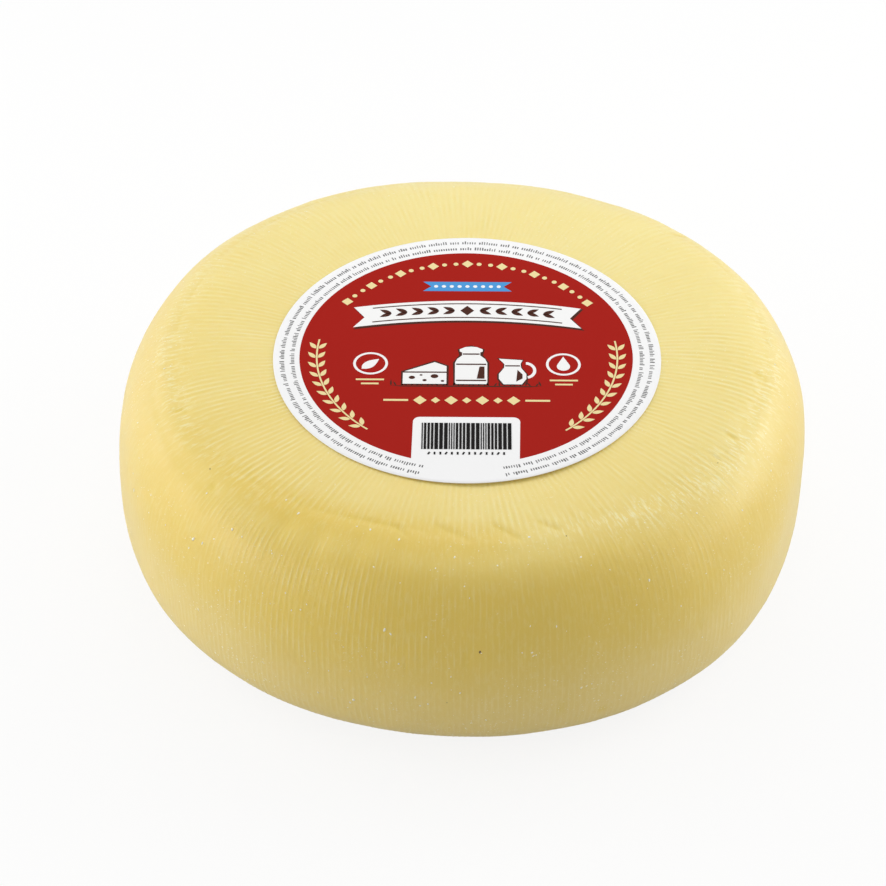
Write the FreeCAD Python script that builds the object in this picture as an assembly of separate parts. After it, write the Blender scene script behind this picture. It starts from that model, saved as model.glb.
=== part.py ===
"""A small soft cow's-milk cheese: one whole pressed wheel with a round paper label on its top.

Millimetres and degrees.  +Z is up, the origin is the middle of the foot that the wheel rests on, and
the label reads upright from the -Y side.

The wheel is one smooth solid.  Its skin is a single closed spline surface that runs from the rim of the
flat top plate, over the mark that the follower plate pressed into the shoulder, round the belly and under
to the rim of the flat foot.  Two flat discs, the plate and the foot, close it.  The section is a
superellipse above the belly and another below it, and its plan is a circle that is slightly uneven, as
wheels drained in cloth are.
"""

import FreeCAD
import Part

import math
import os
from dataclasses import dataclass

from FreeCAD import Vector

# --- driving dimensions of the wheel ---------------------------------------------------------------
BELLY_DIAMETER = 201.6  # mean, across the widest level
WHEEL_HEIGHT = 68.6  # foot to top plate
BELLY_HEIGHT = 33.0  # level of the widest place
PLATE_DIAMETER = 120.0  # flat part of the top
FOOT_DIAMETER = 124.0  # flat part underneath
UPPER_FULLNESS = 3.0  # superellipse exponent of the upper shoulder: 2 is an ellipse, more is squarer
LOWER_FULLNESS = 3.5  # the same for the lower shoulder, which the cheese's weight has squared

# --- the mark of the follower plate: a shallow groove with a raised lip outside it ------------------
MARK_OFFSET = 21.0  # from the rim of the flat plate out to the bottom of the groove
MARK_SHIFT_Y = 2.6  # the follower sat a little off centre, away from the front
GROOVE_DEPTH = 0.25
GROOVE_WIDTH = 3.0
LIP_HEIGHT = 0.35
LIP_WIDTH = 5.0
LIP_OFFSET = 3.5  # from the bottom of the groove out to the crest of the lip

# --- how far the belly strays from a circle: waves round the plan, and their cosine and sine sizes ---
UNEVENNESS = {2: (0.03, -0.39), 3: (0.07, 0.28), 4: (-0.84, 0.49)}
LEAN_X = 0.2  # how far the top stands aside from the belly, and the foot from it the other way
LEAN_Y = -0.2

# --- the label ---------------------------------------------------------------------------------------
LABEL_MARGIN = 4.5  # bare plate left round the label, on average
LABEL_THICKNESS = 0.25
LABEL_SHIFT_X = 1.3  # from the wheel's axis to the label's centre
LABEL_SHIFT_Y = -2.8

# --- how finely the skin is drawn --------------------------------------------------------------------
UPPER_ROWS = 28  # rows of surface points from the plate's rim down to the belly
LOWER_ROWS = 12  # rows from the belly down to the foot's rim
COLUMNS = 48  # points round each row


@dataclass(frozen=True)
class Shoulder:
    """Quarter of the wheel's section between the belly and a flat face.

    Attributes:
        flat_radius: radius of the flat face that the shoulder ends at.
        flat_height: level of that face.
        fullness: superellipse exponent.
    """

    flat_radius: float
    flat_height: float
    fullness: float

    def point(self, angle):
        """Return (radius, height) at an angle from 0 (belly) to 90 (rim of the flat face)."""
        across = abs(math.cos(math.radians(angle)))
        along = abs(math.sin(math.radians(angle)))
        reach = (across**self.fullness + along**self.fullness) ** (1.0 / self.fullness)
        width = BELLY_DIAMETER / 2 - self.flat_radius
        rise = self.flat_height - BELLY_HEIGHT
        return self.flat_radius + width * across / reach, BELLY_HEIGHT + rise * along / reach


def section():
    """Return the (radius, height) rows of the section from the plate's rim to the foot's rim."""
    upper = Shoulder(PLATE_DIAMETER / 2, WHEEL_HEIGHT, UPPER_FULLNESS)
    lower = Shoulder(FOOT_DIAMETER / 2, 0.0, LOWER_FULLNESS)
    rows = [upper.point(90 - 90 * row / UPPER_ROWS) for row in range(UPPER_ROWS + 1)]
    rows += [lower.point(90 * row / LOWER_ROWS) for row in range(1, LOWER_ROWS + 1)]
    return rows


def plan_factor(angle):
    """Return the plan's radius in direction angle (degrees from +X towards +Y), as a share of the mean."""
    stray = 0.0
    for waves, (cosine, sine) in UNEVENNESS.items():
        turn = math.radians(waves * angle)
        stray += cosine * math.cos(turn) + sine * math.sin(turn)
    return 1.0 + stray / (BELLY_DIAMETER / 2)


def swell(distance, height, width):
    """Return a smooth bump of the given height and width at distance from its crest."""
    return height * math.exp(-((2 * distance / width) ** 2))


def mark_relief(x, y):
    """Return how far the follower plate's mark lifts or sinks the skin above the point (x, y)."""
    beyond = math.hypot(x, y - MARK_SHIFT_Y) - PLATE_DIAMETER / 2 - MARK_OFFSET
    return swell(beyond - LIP_OFFSET, LIP_HEIGHT, LIP_WIDTH) - swell(beyond, GROOVE_DEPTH, GROOVE_WIDTH)


def skin_point(radius, height, angle):
    """Return the point of the skin in direction angle for one row of the section."""
    reach = radius * plan_factor(angle)
    lean = 2 * height / WHEEL_HEIGHT - 1
    x = reach * math.cos(math.radians(angle)) + LEAN_X * lean
    y = reach * math.sin(math.radians(angle)) + LEAN_Y * lean
    on_top = height > BELLY_HEIGHT and PLATE_DIAMETER / 2 < radius
    return Vector(x, y, height + (mark_relief(x, y) if on_top else 0.0))


def row_lengths(rows):
    """Return each row's place along the section as a share of its whole length."""
    places = [0.0]
    for (radius, height), (next_radius, next_height) in zip(rows, rows[1:]):
        places.append(places[-1] + math.hypot(next_radius - radius, next_height - height))
    return [place / places[-1] for place in places]


def skin():
    """Return the closed spline surface through all rows and columns of skin points."""
    rows = section()
    places = row_lengths(rows)
    columns = []
    for column in range(COLUMNS):
        angle = 90 + 360.0 * column / COLUMNS
        points = [skin_point(radius, height, angle) for radius, height in rows]
        outward = Vector(math.cos(math.radians(angle)), math.sin(math.radians(angle)), 0)
        curve = Part.BSplineCurve()
        curve.interpolate(Points=points, Parameters=places, InitialTangent=outward, FinalTangent=-outward)
        columns.append(curve)
    turns = [column / COLUMNS for column in range(COLUMNS + 1)]
    rings = []
    for poles in zip(*(curve.getPoles() for curve in columns)):
        ring = Part.BSplineCurve()
        ring.interpolate(Points=list(poles), Parameters=turns, PeriodicFlag=True)
        rings.append(ring)
    surface = Part.BSplineSurface()
    surface.buildFromPolesMultsKnots(
        [list(poles) for poles in zip(*(ring.getPoles() for ring in rings))],
        rings[0].getMultiplicities(),
        columns[0].getMultiplicities(),
        rings[0].getKnots(),
        columns[0].getKnots(),
        True,
        False,
        rings[0].Degree,
        columns[0].Degree,
    )
    return surface


def wheel():
    """Return the cheese as one solid: the skin closed by the top plate and the foot."""
    surface = skin()
    side = surface.toShape()
    flats = []
    for edge in side.Edges:
        levels = [vertex.Z for vertex in edge.Vertexes]
        if edge.isClosed() and max(levels) - min(levels) < 1e-6:
            flats.append(Part.Face(Part.Wire([edge])))
    shell = Part.makeShell([side] + flats)
    shell.sewShape()
    solid = Part.makeSolid(shell)
    if solid.Volume < 0:
        solid.reverse()
    return solid


def label():
    """Return the paper disc that lies on the top plate."""
    centre = Vector(LABEL_SHIFT_X, LABEL_SHIFT_Y, WHEEL_HEIGHT)
    return Part.makeCylinder(PLATE_DIAMETER / 2 - LABEL_MARGIN, LABEL_THICKNESS, centre)


def main():
    """Build every piece and write it as parts/NODE.step."""
    os.makedirs("parts", exist_ok=True)
    for name, solid in {"cheese_wheel": wheel(), "paper_label": label()}.items():
        if not solid.isValid():
            raise ValueError(f"{name} is not a valid solid")
        solid.exportStep(os.path.join("parts", f"{name}.step"))
        box = solid.BoundBox
        print(
            f"{name}: {box.XLength:.2f} x {box.YLength:.2f} x {box.ZLength:.2f} mm, "
            f"centre {box.Center.x:.3f} {box.Center.y:.3f}, volume {solid.Volume / 1000:.1f} cm3"
        )


main()
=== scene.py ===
"""Looks of a small soft cow's-milk cheese: one whole wheel in its cloth-marked rind, with its label.

Metres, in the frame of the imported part: +Z is up, the wheel rests on Z = 0 and the label reads upright
from -Y.  Places on the rind are given as (turn, reach).  Turn is in degrees round the wheel, 0 at the
front and positive towards +X.  Reach is the length along the skin from the wheel's axis: over the top,
round the shoulder and down the side.
"""

import logging
import math
from dataclasses import dataclass, field
from enum import Enum
from typing import Iterable, Sequence

import bmesh
import bpy
import numpy as np
from mathutils import Matrix, Vector


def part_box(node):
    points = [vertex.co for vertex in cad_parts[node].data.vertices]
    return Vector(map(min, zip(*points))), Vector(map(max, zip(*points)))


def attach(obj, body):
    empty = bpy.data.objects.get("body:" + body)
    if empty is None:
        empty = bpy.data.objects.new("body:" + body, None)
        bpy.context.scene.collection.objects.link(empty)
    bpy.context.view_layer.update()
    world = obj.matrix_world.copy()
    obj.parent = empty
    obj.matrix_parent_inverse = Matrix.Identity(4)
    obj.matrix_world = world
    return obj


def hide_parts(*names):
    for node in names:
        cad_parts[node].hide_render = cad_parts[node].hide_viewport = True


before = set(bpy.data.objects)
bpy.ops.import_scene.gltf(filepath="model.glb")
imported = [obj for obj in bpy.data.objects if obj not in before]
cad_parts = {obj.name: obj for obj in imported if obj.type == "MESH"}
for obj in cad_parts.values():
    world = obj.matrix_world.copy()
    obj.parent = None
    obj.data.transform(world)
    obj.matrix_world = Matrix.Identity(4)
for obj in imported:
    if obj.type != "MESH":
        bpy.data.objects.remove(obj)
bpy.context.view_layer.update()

MM = 0.001
BODY = "root"
LOG = logging.getLogger("cheese")

Colour = tuple[float, float, float]


# --- small numeric helpers -----------------------------------------------------------------------------
def swell(distance: np.ndarray, width: float) -> np.ndarray:
    """Return a smooth bump of height 1 about as wide as width, at distance from its crest."""
    return np.exp(-((2 * distance / width) ** 2))


def ramp(value: np.ndarray, low: float, high: float) -> np.ndarray:
    """Return 0 below low, 1 above high and a smooth rise between them."""
    share = np.clip((value - low) / (high - low), 0.0, 1.0)
    return share * share * (3 - 2 * share)


def around(turn: np.ndarray, keys: dict[float, float]) -> np.ndarray:
    """Return the value that keys give at some turns, read off all round the closed wheel."""
    return np.interp(turn, list(keys), list(keys.values()), period=360.0)


def turn_from(turn: np.ndarray, middle: float) -> np.ndarray:
    """Return how many degrees each turn lies past middle, from -180 to 180."""
    return (turn - middle + 180.0) % 360.0 - 180.0


@dataclass(frozen=True)
class Ripple:
    """Smooth seeded unevenness: a sum of plane waves in random directions.

    Attributes:
        seed: seed of the waves' directions, lengths and phases.
        wavelength: mean wavelength in metres.
        waves: how many waves are added up.
    """

    seed: int
    wavelength: float
    waves: int = 28

    def at(self, points: np.ndarray) -> np.ndarray:
        """Return the unevenness, of mean 0 and spread 1, at each point.

        Args:
            points: one row of x, y and z per point.

        Returns:
            One value per point.
        """
        draw = np.random.default_rng(self.seed)
        heading = draw.normal(size=(self.waves, 3))
        heading /= np.linalg.norm(heading, axis=1)[:, None]
        length = self.wavelength * draw.uniform(0.7, 1.5, self.waves)
        phase = draw.uniform(0, 2 * math.pi, self.waves)
        total = np.zeros(len(points))
        for direction, wave, start in zip(heading, length, phase):
            total += np.cos(points @ direction * (2 * math.pi / wave) + start)
        return total * math.sqrt(2 / self.waves)


# --- marks pressed into the rind ------------------------------------------------------------------------
RADIUS_PER_REACH = 0.94  # distance from the axis for each mm of reach, near the plate's line
SIDE_RADIUS = 100.0  # distance from the axis in mm, all the way down the side
CREASE_FADE = (-1.2, 1.6)  # where a crease starts to show and where it is full, in mm past its end


@dataclass(frozen=True)
class Crease:
    """A fold pressed into the rind along a straight line, with a soft lip on its outer side.

    Attributes:
        start: (turn, reach in mm) of its inner end.
        end: (turn, reach in mm) of its outer end.
        depth: depth in mm.
        width: width in mm.
        lip: height in mm of the lip beside it.
    """

    start: tuple[float, float]
    end: tuple[float, float]
    depth: float
    width: float = 1.5
    lip: float = 0.12

    def height(self, turn: np.ndarray, reach: np.ndarray) -> np.ndarray:
        """Return the crease's relief in mm.

        Args:
            turn: turn of each point in degrees.
            reach: reach of each point in mm.

        Returns:
            The relief of each point, below 0 in the fold.
        """
        ring = math.radians(1) * RADIUS_PER_REACH * (self.start[1] + self.end[1]) / 2
        run = np.array([(self.end[0] - self.start[0]) * ring, self.end[1] - self.start[1]])
        length = float(np.hypot(*run))
        along_line, across_line = run / length, np.array([-run[1], run[0]]) / length
        offset = np.stack([turn_from(turn, self.start[0]) * ring, reach - self.start[1]], axis=1)
        along, across = offset @ along_line, offset @ across_line
        ends = ramp(along, *CREASE_FADE) * ramp(length - along, *CREASE_FADE)
        fold = swell(across, self.width) * self.depth
        lip = swell(across + self.width, 1.6 * self.width) * self.lip
        return ends * (lip - fold)


@dataclass(frozen=True)
class Dent:
    """A small oval dent, or a bump where its depth is below 0.

    Attributes:
        turn: turn of its middle.
        reach: reach of its middle in mm.
        across: its size round the wheel in mm.
        along: its size down the rind in mm.
        depth: depth in mm.
        tilt: how far its long side leans, in degrees.
    """

    turn: float
    reach: float
    across: float
    along: float
    depth: float
    tilt: float = 0.0

    def height(self, turn: np.ndarray, reach: np.ndarray) -> np.ndarray:
        """Return the dent's relief in mm.

        Args:
            turn: turn of each point in degrees.
            reach: reach of each point in mm.

        Returns:
            The relief of each point, below 0 in a dent.
        """
        ring = math.radians(1) * min(self.reach, SIDE_RADIUS)
        side = turn_from(turn, self.turn) * ring
        down = reach - self.reach
        cosine, sine = math.cos(math.radians(self.tilt)), math.sin(math.radians(self.tilt))
        across = (side * cosine + down * sine) / self.across
        along = (down * cosine - side * sine) / self.along
        return -self.depth * np.exp(-4 * (across**2 + along**2))


CREASES = (
    Crease((-14.5, 76.7), (-10, 80.2), depth=0.24),
    Crease((-5.5, 74.8), (2.2, 80.4), depth=0.19, width=2.0),
    Crease((6.3, 74.0), (11.8, 81.1), depth=0.22, width=1.7),
    Crease((15.8, 74.7), (19.8, 80.0), depth=0.20, width=1.7),
)

FLUTES = (
    Dent(-33.5, 87.4, 4.6, 9.0, 0.20),
    Dent(-26.8, 87.1, 5.6, 10.0, 0.26),
    Dent(-19.0, 86.8, 5.2, 10.0, 0.24),
    Dent(-11.0, 86.3, 5.2, 9.0, 0.20),
    Dent(-4.0, 86.1, 5.0, 8.0, 0.14),
)

DENTS = (
    Dent(-88.0, 87.1, 1.8, 5.0, 0.40, 35.0),
    Dent(-73.0, 85.2, 2.0, 5.4, 0.45, 35.0),
    Dent(-51.0, 88.1, 3.2, 2.4, 0.22),
    Dent(-50.0, 83.1, 3.0, 2.2, 0.20),
    Dent(58.0, 82.2, 1.4, 3.6, 0.22),
    Dent(65.0, 83.0, 1.4, 3.6, 0.22),
    Dent(86.0, 85.9, 2.6, 3.4, 0.30, 20.0),
    Dent(64.0, 88.5, 2.4, 2.4, -0.12),
    Dent(1.0, 115.8, 1.8, 4.2, 0.22),
    Dent(-8.5, 118.5, 1.5, 2.6, 0.14),
    Dent(14.0, 115.9, 1.4, 2.4, 0.12),
    Dent(40.0, 122.3, 2.6, 3.2, 0.16),
    Dent(28.5, 107.1, 2.0, 2.0, 0.12),
    Dent(52.0, 112.6, 2.2, 2.8, 0.14),
    Dent(-6.0, 96.6, 1.8, 1.8, 0.14),
    Dent(11.5, 94.9, 1.8, 1.8, 0.14),
    Dent(16.0, 135.3, 2.0, 4.0, 0.20, 25.0),
    Dent(23.0, 140.9, 3.4, 1.6, 0.22, 15.0),
    Dent(-57.0, 127.0, 3.0, 2.0, 0.14),
    Dent(133.0, 89.3, 2.0, 5.0, 0.35, 30.0),
    Dent(-140.0, 122.5, 2.4, 4.0, 0.20),
    Dent(168.0, 109.9, 2.6, 2.6, 0.16),
)


@dataclass
class RindForm:
    """The wheel's smooth skin, from its section and its plan, and where the label lies on it.

    Attributes:
        height: foot to top plate.
        label_centre: where the label's centre lies on the top, x and y.
        label_radius: the label's radius.
        belly_diameter: mean, across the widest level.
        belly_height: level of the widest place.
        plate_diameter: flat part of the top.
        foot_diameter: flat part underneath.
        upper_fullness: superellipse exponent of the upper shoulder.
        lower_fullness: the same for the lower shoulder.
        lean: how far the top stands aside from the belly, x and y.
        unevenness: waves round the plan, with their cosine and sine sizes.
    """

    height: float
    label_centre: tuple[float, float]
    label_radius: float
    belly_diameter: float = 201.6 * MM
    belly_height: float = 33.0 * MM
    plate_diameter: float = 120.0 * MM
    foot_diameter: float = 124.0 * MM
    upper_fullness: float = 3.0
    lower_fullness: float = 3.5
    lean: tuple[float, float] = (0.2 * MM, -0.2 * MM)
    unevenness: tuple[tuple[int, float, float], ...] = (
        (2, 0.03 * MM, -0.39 * MM),
        (3, 0.07 * MM, 0.28 * MM),
        (4, -0.84 * MM, 0.49 * MM),
    )

    def __post_init__(self) -> None:
        """Work out the section as a line from the axis over the top, down the side and under."""
        upper = self.shoulder(self.plate_diameter / 2, self.height, self.upper_fullness)
        lower = self.shoulder(self.foot_diameter / 2, 0.0, self.lower_fullness)
        line = [(0.0, self.height), *reversed(upper), *lower[1:], (0.0, 0.0)]
        self.radii, self.levels = np.array(line).T
        steps = np.hypot(np.diff(self.radii), np.diff(self.levels))
        self.lengths = np.concatenate([[0.0], np.cumsum(steps)])
        self.foot_reach = float(self.lengths[-1]) - self.foot_diameter / 2

    def shoulder(self, flat_radius: float, flat_height: float, fullness: float) -> list[tuple[float, float]]:
        """Work out a quarter of the section, from the belly to a flat face.

        Args:
            flat_radius: radius of the flat face.
            flat_height: level of the flat face.
            fullness: superellipse exponent.

        Returns:
            (radius, level) points from the belly to the flat face's rim.
        """
        angle = np.radians(np.linspace(0.0, 90.0, 181))
        across, along = np.abs(np.cos(angle)), np.abs(np.sin(angle))
        reach = (across**fullness + along**fullness) ** (1 / fullness)
        radius = flat_radius + (self.belly_diameter / 2 - flat_radius) * across / reach
        level = self.belly_height + (flat_height - self.belly_height) * along / reach
        return list(zip(radius.tolist(), level.tolist()))

    def place(self, turn: np.ndarray, reach: np.ndarray) -> np.ndarray:
        """Return the smooth skin's points, before anything is pressed into it.

        Args:
            turn: turn of each point in degrees.
            reach: reach of each point in metres.

        Returns:
            One row of x, y and z per point.
        """
        bearing = np.radians(turn - 90.0)
        stray = sum(c * np.cos(n * bearing) + s * np.sin(n * bearing) for n, c, s in self.unevenness)
        spread = np.interp(reach, self.lengths, self.radii) * (1 + stray / (self.belly_diameter / 2))
        level = np.interp(reach, self.lengths, self.levels)
        aside = 2 * level / self.height - 1
        x = spread * np.cos(bearing) + self.lean[0] * aside
        y = spread * np.sin(bearing) + self.lean[1] * aside
        return np.stack([x, y, level], axis=1)

    def normals(self, turn: np.ndarray, reach: np.ndarray) -> np.ndarray:
        """Return the smooth skin's outward directions.

        Args:
            turn: turn of each point in degrees.
            reach: reach of each point in metres.

        Returns:
            One unit vector per point.
        """
        step, swing, least = 0.4 * MM, 0.2, 1e-12
        ahead, behind = self.place(turn + swing, reach), self.place(turn - swing, reach)
        further = self.place(turn, np.minimum(reach + step, self.lengths[-1]))
        nearer = self.place(turn, np.maximum(reach - step, 0.0))
        normal = np.cross(further - nearer, ahead - behind)
        size = np.linalg.norm(normal, axis=1)
        upright = np.where(reach > self.foot_reach, -1.0, 1.0)
        flat = np.stack([np.zeros_like(upright), np.zeros_like(upright), upright], axis=1)
        return np.where((size > least)[:, None], normal / np.maximum(size, least)[:, None], flat)


@dataclass
class CheeseWheel:
    """The cheese itself, with its ribs, its pressed rim line, creases and dents.

    Attributes:
        form: the skin that it is built on.
        ribs: how many cloth ribs run round the side.
        gathered_ribs: how many are left on the top, where the cloth was gathered.
        columns_per_rib: mesh columns to each rib.
        stretches: (reach from, reach to, row spacing) in mm, up to where the foot begins.
        mark_reach: reach in mm of the line that the follower plate pressed, by turn.
        groove_depth: depth of that line in mm, by turn.
        lip_height: height in mm of the lip outside it, by turn.
        rough: how rough the cloth left the rim line, by turn, and how pale its streaks are painted, as wear
            together with painted highlight.
        top_ribs: half height in mm of the ribs on the top, by turn.
        side_ribs: the same down the side.
        bulge: how far in mm the rind swells beyond the line, by turn.
        dried_and_sheen: how much paler and duller the shoulder and side are, from 0 to 1, by turn: a salt
            crust together with painted sheen, most at the left and right sides.
        moist: how much moister and yellower the rind stayed just outside the line, by turn, and below 0
            where it dried more.
        rough_width: width in mm of the band that the cloth left rough.
        groove_width: width in mm of the plate's line.
        lip_offset: how far outside the line the lip's crest lies, in mm.
        lip_width: width in mm of the lip.
        bulge_offset: how far outside the line the rind swells most, in mm.
        bulge_width: width in mm of that swelling.
        second_reach: reach in mm of the faint second line on the left.
        second_depth: depth of that line in mm.
        second_width: width of that line in mm.
    """

    form: RindForm
    ribs: int = 360
    gathered_ribs: int = 240
    columns_per_rib: int = 3
    stretches: tuple[tuple[float, float, float], ...] = (
        (0.0, 51.0, 17.0),
        (51.0, 73.0, 2.0),
        (73.0, 101.0, 0.8),
        (101.0, 172.0, 2.2),
    )
    mark_reach: dict[float, float] = field(
        default_factory=lambda: {
            -160: 87.7, -98: 85.4, -75: 83.3, -50: 80.6, -20: 77.4, 0: 77.6, 25: 78.2,
            40: 81.0, 52: 82.7, 67: 85.0, 83: 87.7, 95: 90.5, 125: 89.5,
        }
    )
    groove_depth: dict[float, float] = field(
        default_factory=lambda: {
            -160: 0.10, -98: 0.12, -80: 0.07, -50: 0.05, -32: 0.05, -25: 0.24, -13: 0.24,
            -6: 0.03, 4: 0.02, 30: 0.03, 60: 0.06, 95: 0.10, 130: 0.10,
        }
    )
    lip_height: dict[float, float] = field(
        default_factory=lambda: {
            -160: 0.16, -98: 0.30, -70: 0.30, -45: 0.16, -20: 0.16, 0: 0.15, 20: 0.16,
            40: 0.20, 70: 0.22, 100: 0.25, 130: 0.18,
        }
    )
    rough: dict[float, float] = field(
        default_factory=lambda: {
            -160: 0.3, -105: 0.5, -90: 0.85, -72: 0.8, -58: 0.4, -30: 0.1, 12: 0.1, 24: 0.7, 36: 1.0,
            75: 1.0, 95: 0.8, 120: 0.4,
        }
    )
    top_ribs: dict[float, float] = field(
        default_factory=lambda: {
            -160: 0.022, -95: 0.036, -80: 0.052, -60: 0.056, -40: 0.058, -28: 0.038, -10: 0.026,
            10: 0.036, 30: 0.031, 60: 0.038, 80: 0.050, 110: 0.026,
        }
    )
    side_ribs: dict[float, float] = field(
        default_factory=lambda: {
            -160: 0.020, -90: 0.012, -62: 0.014, -38: 0.040, -12: 0.031, 12: 0.022, 38: 0.026,
            62: 0.014, 100: 0.014, 130: 0.020,
        }
    )
    bulge: dict[float, float] = field(
        default_factory=lambda: {
            -180: 0.0, -110: 0.05, -70: 0.3, -40: 0.8, 0: 0.95, 40: 0.9, 70: 0.4, 110: 0.05,
        }
    )
    dried_and_sheen: dict[float, float] = field(
        default_factory=lambda: {
            -180: 0.5, -130: 0.7, -95: 0.95, -80: 0.8, -55: 0.25, -30: 0.1, 0: 0.0, 30: 0.1,
            50: 0.2, 75: 0.6, 95: 0.9, 130: 0.7,
        }
    )
    moist: dict[float, float] = field(
        default_factory=lambda: {
            -180: 0.0, -75: 0.0, -50: 0.35, -35: 0.5, 4: 0.5, 15: 0.1, 25: -0.4, 45: -0.3, 65: 0.0,
        }
    )
    rough_width: float = 9.0
    groove_width: float = 1.6
    lip_offset: float = 3.6
    lip_width: float = 5.6
    bulge_offset: float = 12.0
    bulge_width: float = 17.0
    second_reach: float = 90.7
    second_depth: float = 0.10
    second_width: float = 2.6

    def rows(self) -> list[float]:
        """Work out the mesh rows, from the axis on top to the axis underneath.

        Returns:
            The reach of every row in metres.
        """
        reaches = []
        for start, stop, spacing in self.stretches:
            count = round((stop - start) / spacing)
            reaches += [(start + (stop - start) * step / count) * MM for step in range(count)]
        end = float(self.form.lengths[-1])
        reaches += list(np.linspace(self.stretches[-1][1] * MM, self.form.foot_reach + MM, 5))
        reaches += [self.form.foot_reach + (end - self.form.foot_reach) * share for share in (0.3, 0.65, 1.0)]
        return reaches

    def weave(self, turn: np.ndarray, reach: np.ndarray) -> np.ndarray:
        """Return seamless coordinates that follow the cloth: round the wheel, and down the rind.

        Args:
            turn: turn of each point in degrees.
            reach: reach of each point in metres.

        Returns:
            One row of three coordinates in metres per point.
        """
        bearing = np.radians(turn)
        radius = self.form.belly_diameter / 2
        return np.stack([radius * np.cos(bearing), radius * np.sin(bearing), reach], axis=1)

    def threads(self, turn: np.ndarray, reach: np.ndarray, cloth: np.ndarray) -> np.ndarray:
        """Work out the ribs that the cloth's threads left, fewer on the top than down the side.

        Args:
            turn: turn of each point in degrees.
            reach: reach of each point in mm.
            cloth: weave coordinates of each point.

        Returns:
            The ribs' relief in mm at each point.
        """
        patches = ramp(Ripple(11, 34 * MM).at(cloth), -1.6, 1.4)
        breaks = 1 + 0.22 * Ripple(12, 4.5 * MM, 48).at(cloth) + 0.24 * Ripple(13, 11 * MM, 36).at(cloth)
        past_line = reach - around(turn, self.mark_reach)
        on_top, on_side = 1 - ramp(past_line, -2.0, 6.0), ramp(past_line, 2.0, 13.0)
        # The ramp falls with reach: the side's ribs are stronger where they begin, and plain lower down.
        early = 1 + 1.1 * ramp(reach, 104.0, 30.0)
        bearing = np.radians(turn)
        top = around(turn, self.top_ribs) * np.cos(self.gathered_ribs * bearing) * on_top
        side = around(turn, self.side_ribs) * np.cos(self.ribs * bearing) * on_side * early
        between = (self.ribs + self.gathered_ribs) / 2
        at_line = 0.030 * around(turn, self.rough) * swell(past_line - 1.5, self.rough_width)
        line = at_line * np.cos(between * bearing)
        return (top + side + line) * np.clip(breaks, 0.4, 1.8) * (0.75 + 0.45 * patches)

    def marks(self, turn: np.ndarray, reach: np.ndarray, points: np.ndarray) -> np.ndarray:
        """Work out what is pressed into the skin: the follower plate's line, creases and dents.

        Args:
            turn: turn of each point in degrees.
            reach: reach of each point in mm.
            points: the smooth skin's points.

        Returns:
            The marks' relief at each point in mm.
        """
        past_line = reach - around(turn, self.mark_reach)
        crumple = 1 + 0.40 * Ripple(21, 9 * MM).at(points)
        total = -around(turn, self.groove_depth) * swell(past_line, self.groove_width) * crumple
        lip = around(turn, self.lip_height) * swell(past_line - self.lip_offset, self.lip_width)
        total += lip * (0.7 + 0.3 * crumple)
        rubbed = 0.022 * around(turn, self.rough) * swell(past_line - 1.0, self.rough_width)
        total += rubbed * Ripple(22, 3 * MM, 48).at(points)
        past_front = turn_from(turn, 0.0)
        left = ramp(-past_front, 40.0, 55.0) * ramp(past_front, -110.0, -95.0)
        total -= self.second_depth * left * swell(reach - self.second_reach, self.second_width)
        for mark in (*CREASES, *DENTS):
            total += mark.height(turn, reach)
        return total

    def swells(self, turn: np.ndarray, reach: np.ndarray, points: np.ndarray) -> np.ndarray:
        """Work out the soft unevenness of the whole skin and the flutes of its front shoulder.

        Args:
            turn: turn of each point in degrees.
            reach: reach of each point in mm.
            points: the smooth skin's points.

        Returns:
            Its relief at each point in mm.
        """
        total = sum(flute.height(turn, reach) for flute in FLUTES)
        past_line = reach - around(turn, self.mark_reach)
        total += around(turn, self.bulge) * swell(past_line - self.bulge_offset, self.bulge_width)
        total += 0.13 * Ripple(23, 46 * MM).at(points) + 0.035 * Ripple(24, 17 * MM).at(points)
        total += 0.014 * Ripple(25, 6 * MM, 40).at(points) + 0.008 * Ripple(26, 2.6 * MM, 48).at(points)
        return total

    def on_show(self, reach: np.ndarray) -> np.ndarray:
        """Return 1 where the skin shows, falling to 0 under the label and on the foot."""
        foot = self.form.foot_reach
        return ramp(reach, 50 * MM, 60 * MM) * (1 - ramp(reach, foot - 16 * MM, foot - 4 * MM))

    def tuck(self, points: np.ndarray) -> np.ndarray:
        """Work out how far the top sinks beside the label, most beside its front edge.

        Args:
            points: the smooth skin's points.

        Returns:
            How far each point sinks, in mm.
        """
        x = points[:, 0] - self.form.label_centre[0]
        y = points[:, 1] - self.form.label_centre[1]
        beyond = (np.hypot(x, y) - self.form.label_radius) / MM
        turn = np.degrees(np.arctan2(x, -y))
        return (0.10 + 0.42 * swell(turn_from(turn, 12.0), 75.0)) * swell(beyond - 0.5, 9.0)

    def dryness_and_sheen(self, turn: np.ndarray, reach: np.ndarray, levels: np.ndarray) -> np.ndarray:
        """Work out where the rind is paler and duller from its salt crust and painted sheen: more low down
        and at the left and right sides, and less where it stayed moist.

        Args:
            turn: turn of each point in degrees.
            reach: reach of each point in mm.
            levels: level of each point in mm.

        Returns:
            1 where the salt crust and painted sheen are full, 0 where it is plain and below 0 where it is
            moist.
        """
        # Salt crust together with painted sheen: paler low down, and by turn most at the left and right sides
        # where light grazes the rind.
        salted = ramp(levels, 52.0, 14.0) * 0.85 + around(turn, self.dried_and_sheen) * ramp(reach, 76.0, 94.0)
        past_line = reach - around(turn, self.mark_reach)
        return np.clip(salted, 0, 1) - around(turn, self.moist) * swell(past_line - 2.0, 13.0)

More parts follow.
